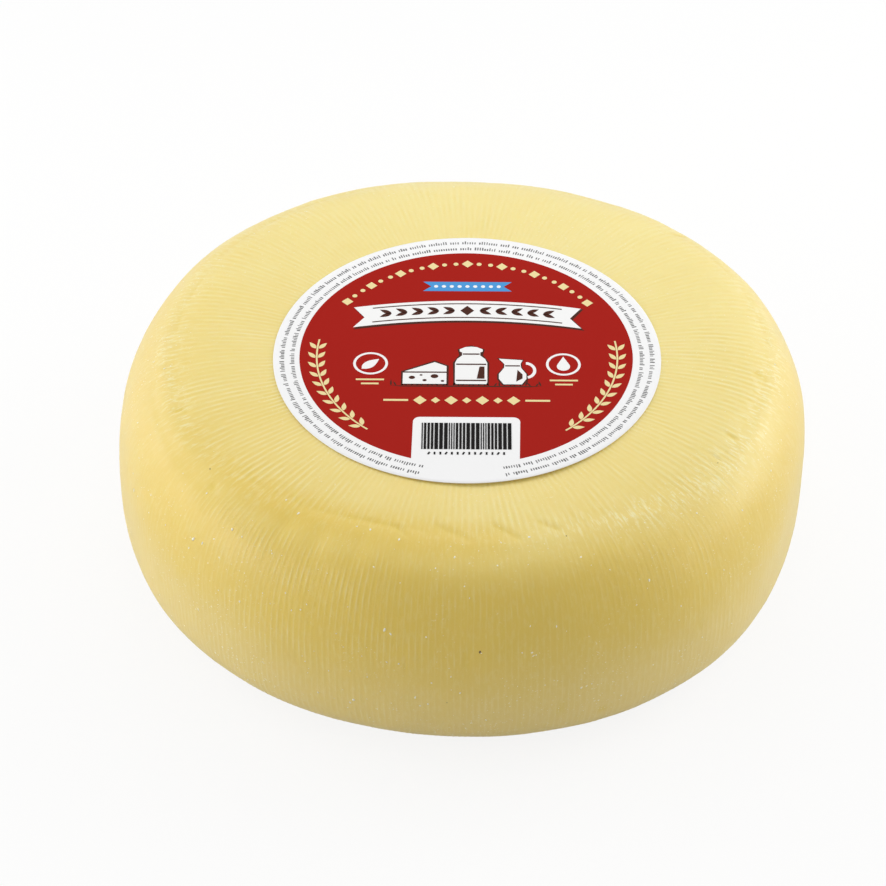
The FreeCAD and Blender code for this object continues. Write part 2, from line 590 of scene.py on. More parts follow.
    def build(self) -> bpy.types.Object:
        """Fold a flat grid into the wheel's skin, with its relief, its weave and its colour attributes: wear,
        salt crust, and painted shade, highlight and sheen.

        Returns:
            The finished wheel.
        """
        mesh = bmesh.new()
        columns, rows = self.ribs * self.columns_per_rib, np.array(self.rows())
        bmesh.ops.create_grid(mesh, x_segments=columns, y_segments=len(rows) - 1, size=0.5)
        flat = np.array([vertex.co[:] for vertex in mesh.verts]) + 0.5
        turn = np.round(flat[:, 0] * columns) * (360.0 / columns) - 180.0
        reach = rows[np.round(flat[:, 1] * (len(rows) - 1)).astype(int)]
        cloth = self.weave(turn, reach)
        millimetres = reach / MM
        drift = 0.06 * Ripple(31, 40 * MM).at(cloth) + 0.025 * Ripple(32, 12 * MM).at(cloth)
        shifted = turn + drift * ramp(millimetres, 8.0, 40.0)
        points = self.form.place(shifted, reach)
        # Salt crust together with painted sheen, low down and at the sides.
        dried_and_sheen = self.dryness_and_sheen(turn, millimetres, points[:, 2] / MM)
        ribs = self.threads(turn, millimetres, cloth)
        marks = self.marks(turn, millimetres, points)
        on_show = self.on_show(reach)
        height = (marks + self.swells(turn, millimetres, points) + ribs) * on_show
        height -= self.tuck(points) * (millimetres < 90.0)
        points += self.form.normals(shifted, reach) * height[:, None] * MM
        points[:, 2] = np.maximum(points[:, 2], 0.0)
        hollow_shade = mesh.verts.layers.float.new("hollow_shade")
        rubbed = mesh.verts.layers.float.new("rubbed")
        woven = mesh.verts.layers.float_vector.new("weave")
        rib_shading = mesh.verts.layers.float.new("rib_shading")
        dusty_sheen = mesh.verts.layers.float.new("dried_and_sheen")
        # Painted shade in the dents, creases and the plate's line, deeper where they are deeper.
        pressed = np.clip(-marks / 0.22, 0.0, 1.0) * on_show
        # Painted shade and highlight across the ribs: low in their valleys, high on their crests.
        threads = np.clip(0.5 + ribs / 0.16, 0.0, 1.0)
        past_line = millimetres - around(turn, self.mark_reach)
        # Wear together with painted highlight where the ribs catch the light along the rim line.
        rough = around(turn, self.rough) * swell(past_line - 1.5, self.rough_width)
        for vertex, *values in zip(mesh.verts, points, pressed, rough * on_show, threads, dried_and_sheen, cloth):
            vertex.co, vertex[hollow_shade], vertex[rubbed], vertex[rib_shading], vertex[dusty_sheen] = values[:5]
            vertex[woven] = Vector(values[5])
        bmesh.ops.remove_doubles(mesh, verts=mesh.verts[:], dist=0.002 * MM)
        bmesh.ops.recalc_face_normals(mesh, faces=mesh.faces[:])
        return as_piece(mesh, "cheese_rind", RindFinish().material(), ("cheese_wheel",))


# --- node helpers ----------------------------------------------------------------------------------------
class Finish:
    """A material's node tree, with short ways to add what the finishes share."""

    def __init__(self, name: str, roughness: float) -> None:
        """Start a material.

        Args:
            name: the material's name.
            roughness: the shader's own roughness, where no pattern drives it.
        """
        self.result = bpy.data.materials.new(name)
        self.result.use_nodes = True
        self.tree = self.result.node_tree
        self.shader = self.tree.nodes["Principled BSDF"]
        self.shader.inputs["Roughness"].default_value = roughness

    def node(self, kind: str, **settings: object) -> bpy.types.Node:
        """Add a node.

        Args:
            kind: its type.
            settings: its properties by name.

        Returns:
            The node.
        """
        made = self.tree.nodes.new(kind)
        for name, value in settings.items():
            setattr(made, name, value)
        return made

    def feed(self, socket: bpy.types.NodeSocket, value: object) -> None:
        """Give a socket a link or a fixed value.

        Args:
            socket: the socket.
            value: an output to link, a plain value, or red, green and blue for a colour.
        """
        if isinstance(value, bpy.types.NodeSocket):
            self.tree.links.new(value, socket)
        elif socket.type == "RGBA":
            socket.default_value = (*value, 1.0)
        else:
            socket.default_value = value

    def place(self) -> bpy.types.NodeSocket:
        """Return the piece's own coordinates."""
        return self.node("ShaderNodeTexCoord").outputs["Object"]

    def attribute(self, name: str, output: str = "Fac") -> bpy.types.NodeSocket:
        """Return an attribute of the mesh."""
        return self.node("ShaderNodeAttribute", attribute_name=name).outputs[output]

    def stretch(self, vector: bpy.types.NodeSocket, scale: Sequence[float]) -> bpy.types.NodeSocket:
        """Scale coordinates along each of their axes.

        Args:
            vector: the coordinates.
            scale: the factor for each axis.

        Returns:
            The scaled coordinates.
        """
        mapping = self.node("ShaderNodeMapping")
        self.feed(mapping.inputs["Vector"], vector)
        mapping.inputs["Scale"].default_value = scale
        return mapping.outputs["Vector"]

    def noise(
        self, vector: bpy.types.NodeSocket, scale: float, detail: float = 2.0, roughness: float = 0.5
    ) -> bpy.types.NodeSocket:
        """Add a noise texture.

        Args:
            vector: coordinates that it reads.
            scale: features per metre.
            detail: how many finer layers it has.
            roughness: how strong the finer layers are.

        Returns:
            Its value, about 0.5 on average.
        """
        made = self.node("ShaderNodeTexNoise")
        self.feed(made.inputs["Vector"], vector)
        made.inputs["Scale"].default_value = scale
        made.inputs["Detail"].default_value = detail
        made.inputs["Roughness"].default_value = roughness
        return made.outputs["Fac"]

    def span(
        self, value: bpy.types.NodeSocket, low: float, high: float, to: Sequence[float] = (0, 1)
    ) -> bpy.types.NodeSocket:
        """Map a value smoothly from one range to another.

        Args:
            value: the value.
            low: value that gives the first of to.
            high: value that gives the second of to.
            to: the two ends of the result.

        Returns:
            The mapped value.
        """
        made = self.node("ShaderNodeMapRange", interpolation_type="SMOOTHSTEP")
        self.feed(made.inputs["Value"], value)
        for name, number in zip(("From Min", "From Max", "To Min", "To Max"), (low, high, *to)):
            made.inputs[name].default_value = number
        return made.outputs["Result"]

    def math(self, operation: str, first: object, second: object) -> bpy.types.NodeSocket:
        """Combine two values.

        Args:
            operation: the math operation.
            first: an output or a number.
            second: an output or a number.

        Returns:
            The result.
        """
        made = self.node("ShaderNodeMath", operation=operation)
        self.feed(made.inputs[0], first)
        self.feed(made.inputs[1], second)
        return made.outputs[0]

    def blend(self, share: object, first: object, second: object) -> bpy.types.NodeSocket:
        """Mix two colours.

        Args:
            share: how much of the second shows, from 0 to 1.
            first: an output or a colour.
            second: an output or a colour.

        Returns:
            The mixed colour.
        """
        made = self.node("ShaderNodeMix", data_type="RGBA")
        self.feed(made.inputs["Factor"], share)
        colours = [socket for socket in made.inputs if socket.type == "RGBA"]
        self.feed(colours[0], first)
        self.feed(colours[1], second)
        return next(socket for socket in made.outputs if socket.type == "RGBA")

    def bump(self, height: bpy.types.NodeSocket, depth: float) -> None:
        """Give the shader a bump.

        Args:
            height: the bump's pattern.
            depth: its depth in metres.
        """
        made = self.node("ShaderNodeBump")
        made.inputs["Strength"].default_value = 1.0
        made.inputs["Distance"].default_value = depth
        self.feed(made.inputs["Height"], height)
        self.feed(self.shader.inputs["Normal"], made.outputs["Normal"])

    def colour(self, value: object) -> None:
        """Give the shader its colour."""
        self.feed(self.shader.inputs["Base Color"], value)


@dataclass(frozen=True)
class RindFinish:
    """Smooth, slightly waxy natural rind: pale on top, partly as painted highlight, a deeper yellow down the
    sides.

    Attributes:
        pale: colour of the top, its own tone together with painted highlight.
        deep: colour of the shoulder.
        dry_and_sheen: colour low down and at the sides, where the salt crust and painted sheen lie.
        ochre_and_shade: colour of random mottle, and of painted shade in folds, dents and between the ribs.
        bloom_and_highlight: colour of faint thread streaks and rubbed ribs, and of painted highlight on the
            ribs' crests and along the rim line.
        salt: colour of the finest salt dust.
    """

    pale: Colour = (0.87, 0.737, 0.290)
    deep: Colour = (0.79, 0.577, 0.110)
    dry_and_sheen: Colour = (0.805, 0.628, 0.225)
    ochre_and_shade: Colour = (0.76, 0.56, 0.08)
    bloom_and_highlight: Colour = (0.92, 0.86, 0.52)
    salt: Colour = (0.97, 0.93, 0.74)

    def ground(
        self,
        finish: Finish,
        place: bpy.types.NodeSocket,
        clouds: bpy.types.NodeSocket,
        dried_and_sheen: bpy.types.NodeSocket,
    ) -> bpy.types.NodeSocket:
        """Colour the plain rind: pale on top, with painted highlight further down at the back and right,
        deeper on the shoulder, paler under salt crust and painted sheen.

        Args:
            finish: the material's nodes.
            place: the piece's own coordinates.
            clouds: soft unevenness.
            dried_and_sheen: how much salt crust and painted sheen pale the rind.

        Returns:
            The colour.
        """
        level = finish.node("ShaderNodeSeparateXYZ")
        finish.feed(level.inputs[0], place)
        height = finish.math("ADD", level.outputs["Z"], finish.span(clouds, 0.25, 0.75, (-0.002, 0.002)))
        # Painted highlight: the pale top is painted further down towards the back (+Y) and the right (+X),
        # where the lamps light the rind most.
        height = finish.math("ADD", height, finish.math("MULTIPLY", level.outputs["Y"], 0.045))
        height = finish.math("ADD", height, finish.math("MULTIPLY", level.outputs["X"], 0.03))
        moist = finish.span(finish.attribute("dried_and_sheen"), -0.5, 0.0, (-0.006, 0.0))
        height = finish.math("ADD", height, moist)
        # Paler, duller colour of salt crust together with painted sheen.
        low = finish.blend(finish.span(dried_and_sheen, 0.0, 1.0), self.deep, self.dry_and_sheen)
        base = finish.blend(finish.span(height, 0.056, 0.074), low, self.pale)
        mottle = finish.span(finish.noise(place, 130.0, 6.0, 0.85), 0.35, 0.75)
        return finish.blend(finish.math("MULTIPLY", mottle, 0.13), base, self.ochre_and_shade)

    def worn(
        self, finish: Finish, weave: bpy.types.NodeSocket, base: bpy.types.NodeSocket
    ) -> bpy.types.NodeSocket:
        """Paint shade between the ribs and in dents and folds, paint highlight on the ribs' crests, and pale
        the rim line's streaks as wear together with painted highlight.

        Args:
            finish: the material's nodes.
            weave: coordinates that follow the cloth.
            base: the colour so far.

        Returns:
            The colour.
        """
        rib_shading = finish.attribute("rib_shading")
        # Painted shade in the ribs' valleys and painted highlight on their crests.
        base = finish.blend(finish.span(rib_shading, 0.5, 0.0, (0.0, 0.35)), base, self.ochre_and_shade)
        base = finish.blend(finish.span(rib_shading, 0.5, 1.0, (0.0, 0.35)), base, self.bloom_and_highlight)
        # Painted shade in dents, creases and the plate's line.
        base = finish.blend(finish.math("MULTIPLY", finish.attribute("hollow_shade"), 0.62), base, self.ochre_and_shade)
        threads = finish.stretch(weave, (1.0, 1.0, 0.30))
        streaks = finish.span(finish.noise(threads, 1000.0, 3.0, 0.65), 0.47, 0.68)
        # Pale streaks along the rim line: wear together with painted highlight where the ribs catch the
        # light.
        rubbed = finish.math("MULTIPLY", streaks, finish.attribute("rubbed"))
        base = finish.blend(finish.math("MULTIPLY", rubbed, 0.65), base, self.bloom_and_highlight)
        return finish.blend(finish.math("MULTIPLY", streaks, 0.10), base, self.bloom_and_highlight)

    def salted(
        self,
        finish: Finish,
        place: bpy.types.NodeSocket,
        dried_and_sheen: bpy.types.NodeSocket,
        base: bpy.types.NodeSocket,
    ) -> bpy.types.NodeSocket:
        """Dust the rind with fine salt, in drifts and more where salt crust and painted sheen pale it.

        Args:
            finish: the material's nodes.
            place: the piece's own coordinates.
            dried_and_sheen: how much salt crust and painted sheen pale the rind.
            base: the colour so far.

        Returns:
            The colour.
        """
        powder = finish.span(finish.noise(place, 1700.0, 1.0), 0.68, 0.76)
        drift = finish.span(finish.noise(place, 40.0, 2.0), 0.42, 0.60)
        drift = finish.math("MULTIPLY", drift, finish.span(dried_and_sheen, 0.0, 0.8, (0.35, 0.9)))
        return finish.blend(finish.math("MULTIPLY", powder, drift), base, self.salt)

    def surface(self, finish: Finish, place: bpy.types.NodeSocket, weave: bpy.types.NodeSocket) -> None:
        """Give the rind its waxy gloss, fine grain, soft depth and faint bloom.

        Args:
            finish: the material's nodes.
            place: the piece's own coordinates.
            weave: coordinates that follow the cloth.
        """
        wax = finish.span(finish.noise(place, 60.0, 3.0), 0.3, 0.7, (0.40, 0.54))
        finish.feed(finish.shader.inputs["Roughness"], wax)
        grain = finish.noise(place, 1500.0, 3.0, 0.6)
        cloth = finish.noise(finish.stretch(weave, (1.0, 1.0, 0.3)), 1100.0, 2.0, 0.5)
        finish.bump(finish.math("ADD", grain, cloth), 0.055 * MM)
        finish.shader.inputs["Subsurface Weight"].default_value = 0.2
        finish.shader.inputs["Subsurface Radius"].default_value = (0.9, 0.66, 0.26)
        finish.shader.inputs["Subsurface Scale"].default_value = 2.5 * MM
        finish.shader.inputs["Sheen Weight"].default_value = 0.28
        finish.shader.inputs["Sheen Roughness"].default_value = 0.45
        finish.shader.inputs["Sheen Tint"].default_value = (1.0, 0.97, 0.76, 1.0)

    def material(self) -> bpy.types.Material:
        """Build the rind's material.

        Returns:
            The material.
        """
        finish = Finish("rind", 0.5)
        place, weave = finish.place(), finish.attribute("weave", "Vector")
        clouds = finish.noise(place, 22.0, 3.0)
        uneven = finish.span(clouds, 0.2, 0.8, (-0.12, 0.12))
        dried_and_sheen = finish.math("ADD", finish.attribute("dried_and_sheen"), uneven)
        base = self.worn(finish, weave, self.ground(finish, place, clouds, dried_and_sheen))
        finish.colour(self.salted(finish, place, dried_and_sheen, base))
        self.surface(finish, place, weave)
        return finish.result


@dataclass(frozen=True)
class SpeckFinish:
    """Matt crumbs: dried salt, or grit.

    Attributes:
        name: the material's name.
        colour: main colour.
        other: colour that it wanders to.
    """

    name: str
    colour: Colour
    other: Colour

    def material(self) -> bpy.types.Material:
        """Build the crumbs' material.

        Returns:
            The material.
        """
        finish = Finish(self.name, 0.7)
        place = finish.place()
        finish.colour(finish.blend(finish.noise(place, 900.0), self.colour, self.other))
        finish.bump(finish.noise(place, 5000.0), 0.02 * MM)
        return finish.result


@dataclass(frozen=True)
class PaperFinish:
    """Coated paper or the ink on it: nearly even, with a satin face and faint fibres.

    Attributes:
        name: the material's name.
        colour: its colour.
        roughness: how matt it is.
        mottle: how far the colour wanders towards black.
        gloss: how strongly its face reflects.
    """

    name: str
    colour: Colour
    roughness: float = 0.42
    mottle: float = 0.05
    gloss: float = 0.02

    def material(self) -> bpy.types.Material:
        """Build the paper's or ink's material.

        Returns:
            The material.
        """
        finish = Finish(self.name, self.roughness)
        place = finish.place()
        fibres = finish.noise(place, 1400.0, 4.0, 0.7)
        clouds = finish.noise(place, 90.0, 2.0)
        share = finish.math("MULTIPLY", finish.math("MULTIPLY", fibres, clouds), self.mottle)
        shade = tuple(0.6 * part for part in self.colour)
        finish.colour(finish.blend(share, self.colour, shade))
        finish.feed(
            finish.shader.inputs["Roughness"],
            finish.span(fibres, 0.3, 0.7, (self.roughness - 0.05, self.roughness + 0.06)),
        )
        finish.bump(fibres, 0.006 * MM)
        finish.shader.inputs["Specular IOR Level"].default_value = self.gloss
        return finish.result


# --- pieces ------------------------------------------------------------------------------------------------
def as_piece(
    mesh: bmesh.types.BMesh,
    name: str,
    material: bpy.types.Material,
    nodes: Sequence[str] = (),
    smooth: bool = True,
) -> bpy.types.Object:
    """Turn a finished bmesh into a piece of the object.

    Args:
        mesh: the bmesh, which is freed.
        name: the piece's name.
        material: its material.
        nodes: the CAD nodes that it stands for.
        smooth: whether its faces are shaded as one curved surface.

    Returns:
        The new object, which rides on the part's only body.
    """
    for face in mesh.faces:
        face.smooth = smooth
    data = bpy.data.meshes.new(name)
    mesh.to_mesh(data)
    mesh.free()
    piece = bpy.data.objects.new(name, data)
    bpy.context.scene.collection.objects.link(piece)
    data.materials.append(material)
    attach(piece, BODY)
    if nodes:
        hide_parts(*nodes)
    LOG.info("%s: %d faces", name, len(data.polygons))
    return piece


@dataclass
class RindSpecks:
    """Crumbs of dried salt and a few grains of grit on the rind.

    Attributes:
        wheel: the wheel that they lie on.
        salt: (turn, reach in mm, size in mm) of the crumbs that stand out.
        grit: the same for the grains.
        scattered: how many more fine crumbs are strewn over it.
        strewn_reach: reach in mm that they are strewn from and to.
        plumpness: how much larger than its listed size every crumb is made.
        seed: seed of the strewn crumbs and of all their shapes.
    """

    wheel: CheeseWheel
    salt: tuple[tuple[float, float, float], ...] = (
        (-37, 79.6, 0.7), (-18, 80.2, 0.9), (-12, 81.7, 0.9), (-42, 94.2, 0.8), (-48.5, 103.1, 1.1),
        (-49, 106.5, 0.7), (-37, 112.7, 0.7), (-12, 107.3, 0.9), (-11, 108.4, 0.9), (-29, 103.9, 0.6),
        (-26, 107.2, 0.6), (15, 106.0, 0.8), (-77, 97.8, 0.7), (-68, 110.3, 1), (-66, 109.7, 0.8),
        (54, 102.7, 0.6), (9.5, 113.1, 0.7), (11, 113.4, 0.8), (0, 127.5, 0.7), (-17, 135.3, 1.2),
        (-17.6, 136.9, 1), (-23, 135.9, 0.8), (-34, 147.2, 0.9), (-35, 141.7, 0.8), (82, 97.4, 0.9),
        (65, 98.0, 0.8), (45, 90.3, 0.8), (21, 88.8, 0.7), (26, 137.2, 0.8), (45, 145.8, 0.8),
        (37, 144.0, 0.7), (19, 129.3, 0.8), (-25, 124.9, 0.7), (-11.5, 118.1, 0.7), (-21, 126.0, 0.7),
        (-43, 120.8, 0.8), (-7, 130.3, 0.8), (-5, 132.5, 0.7), (13, 80.3, 0.9), (7.5, 81.2, 0.6),
    )
    grit: tuple[tuple[float, float, float], ...] = (
        (20, 81.8, 0.55), (-54.5, 85.3, 0.6), (3, 112.3, 0.7), (57, 84.2, 0.45), (-2, 131.4, 0.5),
        (150, 97.6, 0.5), (-124, 119.0, 0.5),
    )
    scattered: int = 760
    strewn_reach: tuple[float, float] = (78.0, 162.0)
    plumpness: float = 0.85
    seed: int = 5

    def strewn(self, draw: np.random.Generator) -> list[tuple[float, float, float]]:
        """Strew fine crumbs, thicker low down and on the left, as dried brine leaves them.

        Args:
            draw: source of the random places.

        Returns:
            (turn, reach in mm, size in mm) of each crumb.
        """
        found = []
        near, far = self.strewn_reach
        while len(found) < self.scattered:
            turn, reach = draw.uniform(-180.0, 180.0), draw.uniform(near, far)
            low = 0.15 + 0.85 * max(0.0, (reach - near) / (far - near)) ** 0.7
            side = 0.55 + 0.45 * math.cos(math.radians(turn + 60.0))
            if draw.uniform() < low * side:
                found.append((turn, reach, 0.30 + 0.5 * draw.uniform() ** 3))
        return found

    def crumbs(
        self,
        name: str,
        places: Iterable[tuple[float, float, float]],
        finish: SpeckFinish,
        draw: np.random.Generator,
    ) -> bpy.types.Object:
        """Build one kind of crumb as one piece.

        Args:
            name: the piece's name.
            places: (turn, reach in mm, size in mm) of each crumb.
            finish: the crumbs' finish.
            draw: source of their random shapes.

        Returns:
            The piece.
        """
        mesh = bmesh.new()
        form = self.wheel.form
        for turn, reach, size in places:
            spot = np.array([turn]), np.array([reach * MM])
            point, normal = form.place(*spot), form.normals(*spot)
            here = (spot[0], spot[1] / MM, point)
            relief = (self.wheel.marks(*here) + self.wheel.swells(*here)) * self.wheel.on_show(spot[1]) * MM
            seat = Vector(point[0] + normal[0] * relief[0])
            upright = Vector(normal[0]).to_track_quat("Z", "Y").to_matrix().to_4x4()
            spin = Matrix.Rotation(draw.normal(0.0, 0.5), 4, "Z")
            half = self.plumpness * size * MM / 2
            round_wheel, down_rind = half * draw.uniform(0.7, 1.1), half * draw.uniform(0.8, 1.9)
            stretch = Matrix.Diagonal((round_wheel, down_rind, half * 0.20, 1.0))
            ball = bmesh.ops.create_icosphere(mesh, subdivisions=1, radius=1.0)
            for vertex in ball["verts"]:
                vertex.co *= draw.uniform(0.75, 1.15)
            shape = Matrix.Translation(seat) @ upright @ spin @ stretch
            bmesh.ops.transform(mesh, matrix=shape, verts=ball["verts"])
        bmesh.ops.recalc_face_normals(mesh, faces=mesh.faces[:])
        return as_piece(mesh, name, finish.material())

    def build(self) -> None:
        """Build both kinds of crumb."""
        draw = np.random.default_rng(self.seed)
        salt = SpeckFinish("dried_salt", (1.0, 0.97, 0.84), (0.97, 0.90, 0.66))
        grit = SpeckFinish("brown_grit", (0.10, 0.06, 0.03), (0.20, 0.13, 0.06))
        self.crumbs("salt_crumbs", [*self.salt, *self.strewn(draw)], salt, draw)
        self.crumbs("grit_grains", self.grit, grit, draw)


class Ink(Enum):
    """The label's inks: colour and the print layer that it lies in."""

    RED = ("red_ink", (0.385, 0.015, 0.010), 1)
    BROWN = ("brown_ink", (0.075, 0.028, 0.020), 2)
    BLUE = ("blue_ink", (0.085, 0.33, 0.70), 2)
    WHITE = ("white_ink", (0.94, 0.94, 0.93), 3)
    CREAM = ("cream_ink", (0.88, 0.74, 0.38), 4)
    BLACK = ("black_ink", (0.012, 0.011, 0.011), 4)
    GREY = ("grey_ink", (0.17, 0.17, 0.17), 1)
    DETAIL = ("brown_detail", (0.075, 0.028, 0.020), 5)


@dataclass
class PaperLabel:
    """The round paper label, glued on but a little proud at its front edge.

    Attributes:
        centre: its centre, x and y.
        radius: its radius.
        top: level of its face.
        thickness: thickness of the paper and its glue.
        layer: height of one layer of print.
        lift: how far the front edge stands up.
        lift_width: width of the rim that stands up.
        lift_turn: where round the label it stands up most, from the front towards +X.
    """

    centre: tuple[float, float]
    radius: float
    top: float
    thickness: float = 0.2 * MM
    layer: float = 0.02 * MM
    lift: float = 0.22 * MM
    lift_width: float = 7.0 * MM
    lift_turn: float = 14.0

    def rise(self, x: float, y: float) -> float:
        """Work out how far the paper stands up.

        Args:
            x: distance to the right of the label's centre.
            y: distance behind it.

        Returns:
            Its height above the level it would lie at.
        """
        inward = (self.radius - math.hypot(x, y)) / self.lift_width
        if inward >= 1.0:
            return 0.0
        turn = math.degrees(math.atan2(x, -y)) - self.lift_turn
        bearing = (turn + 180.0) % 360.0 - 180.0
        return self.lift * (1 - inward) ** 2 * math.exp(-((bearing / 45.0) ** 2))

    def settle(self, mesh: bmesh.types.BMesh) -> None:
        """Move a mesh drawn round the label's own centre to its place, bent as the paper is.

        Args:
            mesh: the mesh.
        """
        for vertex in mesh.verts:
            vertex.co.z += self.top + self.rise(vertex.co.x, vertex.co.y)
            vertex.co.x += self.centre[0]
            vertex.co.y += self.centre[1]

    def build(self) -> bpy.types.Object:
        """Spin a closed profile into the paper disc, then bend it.

        Returns:
            The paper.
        """
        rim = 0.04 * MM
        inner = [self.radius * share for share in (0.0, 0.4, 0.8, 0.88, 0.92, 0.95, 0.975)]
        profile = [(reach, 0.0) for reach in inner]
        profile += [(self.radius - rim, 0.0), (self.radius, -rim), (self.radius, rim - self.thickness)]
        profile += [(self.radius - rim, -self.thickness)]
        profile += [(reach, -self.thickness) for reach in reversed(inner)]
        mesh = bmesh.new()
        line = [mesh.verts.new((reach, 0.0, level)) for reach, level in profile]
        edges = [mesh.edges.new(pair) for pair in zip(line, line[1:])]
        bmesh.ops.spin(
            mesh, geom=line + edges, cent=(0, 0, 0), axis=(0, 0, 1), angle=2 * math.pi, steps=180,
            use_merge=True,
        )
        bmesh.ops.remove_doubles(mesh, verts=mesh.verts[:], dist=0.001 * MM)
        bmesh.ops.recalc_face_normals(mesh, faces=mesh.faces[:])
        self.settle(mesh)
        paper = PaperFinish("label_paper", (0.94, 0.94, 0.94), 0.40, 0.06, 0.10)
        return as_piece(mesh, "label_sheet", paper.material(), ("paper_label",))


class InkSheet:
    """One ink's share of the print, drawn in millimetres round the label's centre."""

    def __init__(self, label: PaperLabel, ink: Ink) -> None:
        """Start an empty sheet.

        Args:
            label: the label that is printed on.
            ink: the ink.
        """
        self.label = label
        self.ink = ink
        self.mesh = bmesh.new()

    def patch(self, outline: Iterable[tuple[float, float]]) -> None:
        """Print the area inside an outline."""
        self.mesh.faces.new([self.mesh.verts.new((x * MM, y * MM, 0.0)) for x, y in outline])

    def disc(self, x: float, y: float, radius: float, squash: float = 1.0, steps: int = 20) -> None:
        """Print a disc or an oval.

        Args:
            x: its centre.
            y: its centre.
            radius: its radius across.
            squash: its height as a share of its width.
            steps: how many corners it has.
        """
        shape = Matrix.Translation((x * MM, y * MM, 0)) @ Matrix.Diagonal((1.0, squash, 1.0, 1.0))
        bmesh.ops.create_circle(self.mesh, cap_ends=True, segments=steps, radius=radius * MM, matrix=shape)

    def bar(self, x: float, y: float, length: float, width: float, turn: float = 0.0) -> None:
        """Print a straight bar.

        Args:
            x: its centre.
            y: its centre.
            length: its length.
            width: its width.
            turn: degrees from +X to its length.
        """
        shape = Matrix.Translation((x * MM, y * MM, 0)) @ Matrix.Rotation(math.radians(turn), 4, "Z")
        shape = shape @ Matrix.Diagonal((length * MM / 2, width * MM / 2, 1.0, 1.0))
        bmesh.ops.create_grid(self.mesh, x_segments=1, y_segments=1, size=1.0, matrix=shape)

    def arc(
        self, radius: float, width: float, start: float = 0.0, sweep: float = 360.0,
        centre: tuple[float, float] = (0.0, 0.0), squash: float = 1.0, steps: int = 48,
    ) -> None:
        """Print a ring or a part of one.

        Args:
            radius: radius of its middle line.
            width: its width.
            start: degrees from +X to its first end.
            sweep: degrees that it spans.
            centre: its centre.
            squash: its height as a share of its width.
            steps: how many steps it is spun in.
        """
        turn = Matrix.Rotation(math.radians(start), 3, "Z")
        reaches = (radius - width / 2, radius + width / 2)
        ends = [self.mesh.verts.new(turn @ Vector((reach, 0, 0)) * MM) for reach in reaches]
        edge = self.mesh.edges.new(ends)
        before = set(self.mesh.verts) - set(ends)
        bmesh.ops.spin(
            self.mesh, geom=[*ends, edge], cent=(0, 0, 0), axis=(0, 0, 1), angle=math.radians(sweep),
            steps=steps, use_merge=sweep >= 360.0,
        )
        for vertex in set(self.mesh.verts) - before:
            vertex.co = Vector((vertex.co.x + centre[0] * MM, vertex.co.y * squash + centre[1] * MM, 0.0))

    def leaf(self, x: float, y: float, length: float, width: float, turn: float) -> None:
        """Print a pointed leaf from its stalk.

        Args:
            x: where its stalk starts.
            y: where its stalk starts.
            length: its length.
            width: its widest width.
            turn: degrees from +X to its tip.
        """
        steps = 8
        shares = [step / steps for step in range(steps + 1)]
        side = [(length * share, width / 2 * math.sin(math.pi * share**0.8)) for share in shares]
        outline = side + [(along, -across) for along, across in reversed(side[1:-1])]
        cosine, sine = math.cos(math.radians(turn)), math.sin(math.radians(turn))
        self.patch((x + a * cosine - b * sine, y + a * sine + b * cosine) for a, b in outline)

    def mirrored(self, half: Sequence[tuple[float, float]], x: float = 0.0, y: float = 0.0) -> None:
        """Print an outline that is drawn as its right half, from the foot to the top.

        Args:
            half: points of the right half.
            x: where its middle line lies.
            y: where its foot lies.
        """
        left = [(-across, up) for across, up in reversed(half) if across > 0]
        self.patch((x + across, y + up) for across, up in [*half, *left])

    def build(self) -> bpy.types.Object:
        """Thicken the sheet into a thin closed piece that lies on the layer below it.

        Returns:
            The piece.
        """
        name, colour, layer = self.ink.value
        top = extrude_up(self.mesh, 1.5 * self.label.layer)
        bmesh.ops.recalc_face_normals(self.mesh, faces=top)
        for vertex in self.mesh.verts:
            vertex.co.z += (layer - 1.5) * self.label.layer
        self.label.settle(self.mesh)
        finish = PaperFinish(name, colour)
        return as_piece(self.mesh, f"print_{name}", finish.material(), smooth=False)


def extrude_up(mesh: bmesh.types.BMesh, height: float) -> list[bmesh.types.BMFace]:
    """Thicken every flat face of a mesh upwards into a closed plate.

    Args:
        mesh: the mesh.
        height: the plate's thickness.

    Returns:
        All faces of the result.
    """
    made = bmesh.ops.extrude_face_region(mesh, geom=mesh.faces[:], use_keep_orig=True)
    risen = [item for item in made["geom"] if isinstance(item, bmesh.types.BMVert)]
    bmesh.ops.translate(mesh, vec=(0, 0, height), verts=risen)
    return mesh.faces[:]


